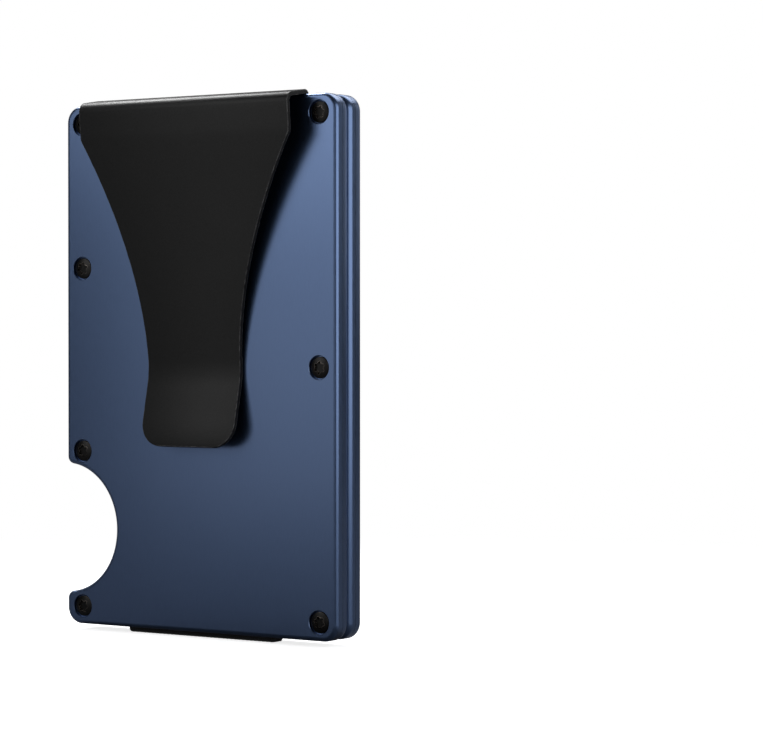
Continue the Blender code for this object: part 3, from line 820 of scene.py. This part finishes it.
def grain_effect():
    """Fine grain, drawn out by its stretch: a value, a slow drift and a bumped normal."""
    tree = effect("fine_grain", {"Place": (0, 0, 0), "Stretch": (1, 1, 1), "Size": 0.0001,
                                 "Depth": 0.000004}, {"Value": "Float", "Drift": "Float",
                                                      "Normal": "Vector"})
    start = tree.nodes.new("NodeGroupInput")
    end = tree.nodes.new("NodeGroupOutput")
    stretched = add(tree, "VectorMath", {0: start.outputs["Place"], 1: start.outputs["Stretch"]},
                    operation="DIVIDE")
    scale = add(tree, "Math", {0: 1.0, 1: start.outputs["Size"]}, operation="DIVIDE")
    noise = add(tree, "TexNoise", {"Vector": stretched.outputs[0], "Scale": scale.outputs[0],
                                   "Detail": 3.0, "Roughness": 0.6})
    drift = add(tree, "TexNoise", {"Vector": start.outputs["Place"], "Scale": 45.0, "Detail": 2.0})
    bump = add(tree, "Bump", {"Height": noise.outputs[0], "Distance": start.outputs["Depth"]})
    tree.links.new(noise.outputs[0], end.inputs["Value"])
    tree.links.new(drift.outputs[0], end.inputs["Drift"])
    tree.links.new(bump.outputs[0], end.inputs["Normal"])
    return tree


def edge_effect():
    """A mask that is 1 on edges sharper than their surroundings, broken up by noise: wear on the plates
    and screws, a painted highlight on the clip.
    """
    tree = effect("edge_wear_and_highlight", {"Place": (0, 0, 0), "Radius": 0.0002, "Strength": 1.0},
                  {"Mask": "Float"})
    start = tree.nodes.new("NodeGroupInput")
    end = tree.nodes.new("NodeGroupOutput")
    rounded = add(tree, "Bevel", {"Radius": start.outputs["Radius"]}, samples=4)
    facing = tree.nodes.new("ShaderNodeNewGeometry")
    dot = add(tree, "VectorMath", {0: rounded.outputs[0], 1: facing.outputs["Normal"]},
              operation="DOT_PRODUCT")
    edge = add(tree, "MapRange", {"Value": dot.outputs["Value"], "From Min": 0.995, "From Max": 0.88,
                                  "To Min": 0.0, "To Max": 1.0})
    noise = add(tree, "TexNoise", {"Vector": start.outputs["Place"], "Scale": 900.0, "Detail": 3.0})
    broken = add(tree, "MapRange", {"Value": noise.outputs[0], "From Min": 0.35, "From Max": 0.65})
    both = add(tree, "Math", {0: edge.outputs[0], 1: broken.outputs[0]}, operation="MULTIPLY")
    scaled = add(tree, "Math", {0: both.outputs[0], 1: start.outputs["Strength"]}, operation="MULTIPLY")
    tree.links.new(scaled.outputs[0], end.inputs["Mask"])
    return tree


def weave_effect():
    """Warp ribs with crossing weft picks: a height, and a shade that paints the valleys dark and the
    raised ribs and picks light, with a random fuzz.
    """
    tree = effect("weave", {"Place": (0, 0, 0), "Rib": 0.0008, "Pick": 0.00035},
                  {"Height": "Float", "Shade": "Float"})
    start = tree.nodes.new("NodeGroupInput")
    end = tree.nodes.new("NodeGroupOutput")
    parts = add(tree, "SeparateXYZ", {0: start.outputs["Place"]})
    rib_turn = add(tree, "Math", {0: parts.outputs[0], 1: start.outputs["Rib"]}, operation="DIVIDE")
    rib_wave = add(tree, "Math", {0: rib_turn.outputs[0], 1: 0.5}, operation="PINGPONG")
    row = add(tree, "Math", {0: rib_turn.outputs[0]}, operation="FLOOR")
    half_row = add(tree, "Math", {0: row.outputs[0], 1: 0.5}, operation="MULTIPLY")
    pick_turn = add(tree, "Math", {0: parts.outputs[1], 1: start.outputs["Pick"]}, operation="DIVIDE")
    shifted = add(tree, "Math", {0: pick_turn.outputs[0], 1: half_row.outputs[0]}, operation="ADD")
    pick_wave = add(tree, "Math", {0: shifted.outputs[0], 1: 0.5}, operation="PINGPONG")
    height = add(tree, "Math", {0: rib_wave.outputs[0], 1: pick_wave.outputs[0]}, operation="MULTIPLY")
    fuzz = add(tree, "TexNoise", {"Vector": start.outputs["Place"], "Scale": 6000.0, "Detail": 3.0})
    full = add(tree, "Math", {0: height.outputs[0], 1: 4.0}, operation="MULTIPLY")
    shade = add(tree, "Math", {0: full.outputs[0], 1: fuzz.outputs[0]}, operation="MULTIPLY")
    tree.links.new(full.outputs[0], end.inputs["Height"])
    tree.links.new(shade.outputs[0], end.inputs["Shade"])
    return tree


def new_finish(name, colour, roughness, metallic):
    """A material with its Principled shader and object coordinates."""
    material = bpy.data.materials.new(name)
    material.use_nodes = True
    tree = material.node_tree
    shader = tree.nodes["Principled BSDF"]
    shader.inputs["Base Color"].default_value = (*colour, 1)
    shader.inputs["Roughness"].default_value = roughness
    shader.inputs["Metallic"].default_value = metallic
    where = tree.nodes.new("ShaderNodeTexCoord").outputs["Object"]
    return material, tree, shader, where


def blend_colours(tree, share, low, high):
    """A colour between two, by a share. Either may be a colour or another node's output."""
    mixed = add(tree, "Mix", data_type="RGBA")
    for index, value in ((0, share), (6, low), (7, high)):
        if isinstance(value, bpy.types.NodeSocket):
            tree.links.new(value, mixed.inputs[index])
        else:
            mixed.inputs[index].default_value = (*value, 1) if isinstance(value, tuple) else value
    return mixed.outputs[2]


def ranged(tree, value, low, high):
    """A noise's or a mask's values between 0.3 and 0.7, spread over a range."""
    return add(tree, "MapRange", {"Value": value, "From Min": 0.3, "From Max": 0.7, "To Min": low,
                                  "To Max": high}).outputs[0]


def anodised(name, effects, stretch, round_grain=False):
    """Satin navy anodising over a fine straight or turned grain, paler where an edge is rubbed."""
    material, tree, shader, where = new_finish(name, NAVY, 0.3, 1.0)
    if round_grain:
        centred = add(tree, "VectorMath", {0: where, 1: (TAG_X, 0, TAG_Z)}, operation="SUBTRACT")
        flat = add(tree, "VectorMath", {0: centred.outputs[0], 1: (1, 0, 1)}, operation="MULTIPLY")
        reach = add(tree, "VectorMath", {0: flat.outputs[0]}, operation="LENGTH")
        parts = add(tree, "SeparateXYZ", {0: where})
        grain_place = add(tree, "CombineXYZ", {0: reach.outputs["Value"], 1: parts.outputs[1]}).outputs[0]
    else:
        grain_place = where
    grain = place(tree, effects["grain"], place=grain_place, stretch=stretch, size=0.00012,
                  depth=0.0000012)
    edge_mask = place(tree, effects["edge"], place=where, radius=0.00015, strength=0.30)
    tone = blend_colours(tree, ranged(tree, grain.outputs["Value"], 0.0, 1.0), NAVY_DEEP, NAVY)
    drifted = blend_colours(tree, ranged(tree, grain.outputs["Drift"], 0.0, 0.25), tone, NAVY_COOL)
    edge_blended = blend_colours(tree, edge_mask.outputs["Mask"], drifted, NAVY_WORN)
    tree.links.new(edge_blended, shader.inputs["Base Color"])
    tree.links.new(ranged(tree, grain.outputs["Value"], 0.29, 0.36), shader.inputs["Roughness"])
    tree.links.new(grain.outputs["Normal"], shader.inputs["Normal"])
    shader.inputs["Coat Weight"].default_value = 0.4
    shader.inputs["Coat Roughness"].default_value = 0.25
    return material


def black_coat(effects):
    """Matte black powder coat with a fine orange-peel texture, greyer on its edges as a painted edge
    highlight.
    """
    material, tree, shader, where = new_finish("black_coat", BLACK, 0.45, 0.0)
    shader.inputs["Specular IOR Level"].default_value = 0.20
    grain = place(tree, effects["grain"], place=where, stretch=(1, 1, 1), size=0.00022, depth=0.000006)
    # Edge mask for the painted highlight: grey along the clip's edges, broken up by noise
    edge_mask = place(tree, effects["edge"], place=where, radius=0.00025, strength=0.9)
    tone = blend_colours(tree, ranged(tree, grain.outputs["Value"], 0.0, 1.0), BLACK, BLACK_LIFTED)
    edge_blended = blend_colours(tree, edge_mask.outputs["Mask"], tone, BLACK_EDGE_HIGHLIGHT)
    tree.links.new(edge_blended, shader.inputs["Base Color"])
    tree.links.new(ranged(tree, grain.outputs["Drift"], 0.40, 0.48), shader.inputs["Roughness"])
    tree.links.new(grain.outputs["Normal"], shader.inputs["Normal"])
    return material


def black_steel(effects):
    """Black oxide on steel screws, with a warm rubbed edge."""
    material, tree, shader, where = new_finish("black_steel", STEEL, 0.35, 0.85)
    grain = place(tree, effects["grain"], place=where, stretch=(1, 1, 1), size=0.00008, depth=0.000002)
    edge_mask = place(tree, effects["edge"], place=where, radius=0.00014, strength=1.0)
    tone = blend_colours(tree, ranged(tree, grain.outputs["Value"], 0.0, 1.0), STEEL_DARK, STEEL_LIGHT)
    edge_blended = blend_colours(tree, edge_mask.outputs["Mask"], tone, STEEL_WORN)
    tree.links.new(edge_blended, shader.inputs["Base Color"])
    tree.links.new(ranged(tree, grain.outputs["Value"], 0.28, 0.42), shader.inputs["Roughness"])
    tree.links.new(grain.outputs["Normal"], shader.inputs["Normal"])
    return material


def woven_elastic(effects):
    """Black ribbed elastic, with crossing picks, painted shade in the weave's valleys and a soft nap."""
    material, tree, shader, where = new_finish("woven_elastic", ELASTIC, 0.8, 0.0)
    weave = place(tree, effects["weave"], place=where, rib=RIB_PITCH / 2, pick=0.00035)
    # Painted shade: darker in the weave's valleys, lighter on its raised ribs and picks
    tone = blend_colours(tree, weave.outputs["Shade"], ELASTIC_DARK, ELASTIC_LIGHT)
    bump = add(tree, "Bump", {"Height": weave.outputs["Height"], "Distance": 0.00003})
    tree.links.new(tone, shader.inputs["Base Color"])
    tree.links.new(ranged(tree, weave.outputs["Height"], 0.72, 0.88), shader.inputs["Roughness"])
    tree.links.new(bump.outputs[0], shader.inputs["Normal"])
    shader.inputs["Sheen Weight"].default_value = 0.25
    shader.inputs["Sheen Roughness"].default_value = 0.5
    return material


def painted_reflection_gloss(effects):
    """The tag's polished dish with a painted reflection: white above a leaning line, black below it,
    greying towards the line.
    """
    material, tree, shader, where = new_finish("painted_reflection_gloss", DISH, 0.08, 0.0)
    parts = add(tree, "SeparateXYZ", {0: where})
    right = add(tree, "Math", {0: parts.outputs[0], 1: math.sin(SPLIT_LEAN)}, operation="MULTIPLY")
    rise = math.cos(SPLIT_LEAN)
    up = add(tree, "Math", {0: parts.outputs[2], 1: rise, 2: -TAG_Z * rise}, operation="MULTIPLY_ADD")
    above = add(tree, "Math", {0: right.outputs[0], 1: up.outputs[0]}, operation="ADD")
    split = add(tree, "MapRange", {"Value": above.outputs[0], "From Min": -SPLIT_SOFT,
                                   "From Max": SPLIT_SOFT})
    fade = add(tree, "MapRange", {"Value": above.outputs[0], "From Min": -SPLIT_FADE, "From Max": 0.0})
    grain = place(tree, effects["grain"], place=where, stretch=(1, 1, 1), size=0.0004, depth=0.0000008)
    # Painted reflection: dark greying towards the leaning line, white above it
    dark = blend_colours(tree, fade.outputs[0], DISH_REFLECTED_DARK, DISH_REFLECTED_GREY)
    tone = blend_colours(tree, split.outputs[0], dark, DISH_REFLECTED_WHITE)
    tree.links.new(tone, shader.inputs["Base Color"])
    tree.links.new(ranged(tree, grain.outputs["Drift"], 0.06, 0.12), shader.inputs["Roughness"])
    tree.links.new(grain.outputs["Normal"], shader.inputs["Normal"])
    shader.inputs["Coat Weight"].default_value = 0.6
    shader.inputs["Coat Roughness"].default_value = 0.04
    return material


def speckled(name, effects, low, high, roughness, metallic, size, depth):
    """A plain finish with fine grain in its colour, roughness and surface."""
    material, tree, shader, where = new_finish(name, high, roughness, metallic)
    grain = place(tree, effects["grain"], place=where, stretch=(1, 1, 1), size=size, depth=depth)
    tone = blend_colours(tree, ranged(tree, grain.outputs["Value"], 0.0, 1.0), low, high)
    tree.links.new(tone, shader.inputs["Base Color"])
    tree.links.new(ranged(tree, grain.outputs["Drift"], 0.85 * roughness, 1.15 * roughness),
                   shader.inputs["Roughness"])
    tree.links.new(grain.outputs["Normal"], shader.inputs["Normal"])
    return material


def make_finishes():
    """Every finish, by the record's slot, with the small chips' own."""
    effects = {"grain": grain_effect(), "edge": edge_effect(), "weave": weave_effect()}
    return {
        "plate": anodised("satin_navy_plate", effects, (1, 1, 12)),
        "ring": anodised("turned_navy_ring", effects, (1, 1, 1), round_grain=True),
        "clip": black_coat(effects),
        "screw": black_steel(effects),
        "strap": woven_elastic(effects),
        "tag_cover": painted_reflection_gloss(effects),
        "tag_shell": speckled("white_cup", effects, (0.78, 0.78, 0.78), (0.84, 0.84, 0.84), 0.25, 0.0,
                              0.0005, 0.000002),
        "battery": speckled("nickel_can", effects, (0.52, 0.52, 0.50), (0.66, 0.66, 0.64), 0.28, 1.0,
                            0.0003, 0.000003),
        "board": speckled("solder_mask", effects, (0.015, 0.10, 0.04), (0.035, 0.19, 0.08), 0.4, 0.0,
                          0.0006, 0.000008),
        "speaker": speckled("speaker_metal", effects, (0.38, 0.35, 0.31), (0.50, 0.46, 0.41), 0.35, 1.0,
                            0.0003, 0.000003),
        "chip": speckled("chip_plastic", effects, (0.008, 0.008, 0.009), (0.02, 0.02, 0.021), 0.5, 0.0,
                         0.0002, 0.000004),
    }


# Stage

def softbox(name, place_at, target, width, height, radiance):
    """A soft rectangular light turned to a target, with a given radiance."""
    bpy.ops.object.light_add(type="AREA", location=place_at)
    lamp = bpy.context.active_object
    lamp.name = name
    lamp.rotation_mode = "QUATERNION"
    lamp.rotation_quaternion = (Vector(target) - Vector(place_at)).to_track_quat("-Z", "Y")
    lamp.data.shape = "RECTANGLE"
    lamp.data.size = width
    lamp.data.size_y = height
    lamp.data.energy = radiance * math.pi * width * height
    lamp.visible_camera = False


def lights():
    """A key and a glow on the clip's face, a key on the tracker's, panels at the rims, two from above."""
    softbox("clip_side_key", (0.095, 0.170, 0.155), (0, 0, 0.060), 0.12, 0.13, 2.2)
    softbox("clip_side_glow", (0.076, 0.170, 0.058), (0, 0, 0.050), 0.11, 0.10, 0.86)
    softbox("tracker_side_key", (-0.120, -0.300, 0.140), (0, 0, 0.050), 0.10, 0.16, 1.0)
    softbox("rim_panel", (-0.400, 0.010, 0.090), (0, 0, 0.045), 0.58, 0.40, 2.1)
    softbox("face_edge_panel", (-0.060, 0.420, 0.090), (0, 0, 0.045), 0.20, 0.30, 0.75)
    softbox("corner_light", (0.0, -0.300, 0.500), (0, 0, 0.040), 0.40, 0.40, 3.2)
    softbox("fold_light", (0.420, -0.190, 0.600), (0, 0, 0.080), 0.22, 0.22, 28.0)
    softbox("notch_side_fill", (0.55, -0.10, 0.12), (0, 0, 0.04), 0.25, 0.35, 0.5)


def backdrop():
    """A white surround to the eye that stays dim in reflections."""
    world = bpy.data.worlds.new("studio")
    bpy.context.scene.world = world
    world.use_nodes = True
    tree = world.node_tree
    tree.nodes.clear()
    path = tree.nodes.new("ShaderNodeLightPath")
    dim = add(tree, "Background", {"Color": (0.9, 0.94, 1.0, 1), "Strength": 0.05})
    white = add(tree, "Background", {"Color": (1, 1, 1, 1), "Strength": 1.0})
    mixed = add(tree, "MixShader", {0: path.outputs["Is Camera Ray"], 1: dim.outputs[0],
                                    2: white.outputs[0]})
    out = tree.nodes.new("ShaderNodeOutputWorld")
    tree.links.new(mixed.outputs[0], out.inputs["Surface"])


def floor():
    """A pale floor that fades to the white surround away from the wallet."""
    bpy.ops.object.select_all(action="DESELECT")
    bpy.ops.mesh.primitive_plane_add(size=12.0)
    piece = named("floor")
    material = bpy.data.materials.new("pale_floor")
    material.use_nodes = True
    tree = material.node_tree
    tree.nodes.clear()
    where = tree.nodes.new("ShaderNodeTexCoord").outputs["Object"]
    reach = add(tree, "VectorMath", {0: where}, operation="LENGTH")
    near = add(tree, "MapRange", {"Value": reach.outputs["Value"], "From Min": 0.05, "From Max": 0.22,
                                  "To Min": 0.0, "To Max": 1.0}, interpolation_type="SMOOTHSTEP")
    path = tree.nodes.new("ShaderNodeLightPath")
    pale = add(tree, "BsdfDiffuse", {"Color": (0.85, 0.85, 0.86, 1)})
    white = add(tree, "Emission", {"Color": (1, 1, 1, 1), "Strength": 1.0})
    lift = add(tree, "Emission", {"Color": (1, 1, 1, 1), "Strength": 0.78})
    lifted = add(tree, "AddShader", {0: pale.outputs[0], 1: lift.outputs[0]})
    seen = add(tree, "MixShader", {0: near.outputs[0], 1: lifted.outputs[0], 2: white.outputs[0]})
    dull = add(tree, "BsdfDiffuse", {"Color": (0.14, 0.14, 0.145, 1)})
    both = add(tree, "MixShader", {0: path.outputs["Is Camera Ray"], 1: dull.outputs[0],
                                   2: seen.outputs[0]})
    out = tree.nodes.new("ShaderNodeOutputMaterial")
    tree.links.new(both.outputs[0], out.inputs["Surface"])
    piece.data.materials.append(material)


def camera():
    """A long lens at plate height, looking at the clip's face and the open side."""
    bpy.ops.object.camera_add(location=CAMERA_PLACE)
    eye = bpy.context.active_object
    eye.name = "camera"
    look = Vector((math.sin(CAMERA_YAW) * math.cos(CAMERA_PITCH),
                   -math.cos(CAMERA_YAW) * math.cos(CAMERA_PITCH), math.sin(CAMERA_PITCH)))
    eye.rotation_mode = "QUATERNION"
    eye.rotation_quaternion = look.to_track_quat("-Z", "Y")
    eye.data.lens = CAMERA_LENS
    eye.data.sensor_width = CAMERA_SENSOR
    eye.data.clip_start = 0.01
    bpy.context.scene.camera = eye
    bpy.context.scene.view_settings.view_transform = "Standard"


backdrop()
floor()
lights()
camera()
made = make_finishes()
plates(made["plate"])
screws(made["screw"])
for strap_name in ("top", "bottom", "side"):
    strap(strap_name, made["strap"])
money_clip(made["clip"])
tag_ring(made["ring"])
tag(made)
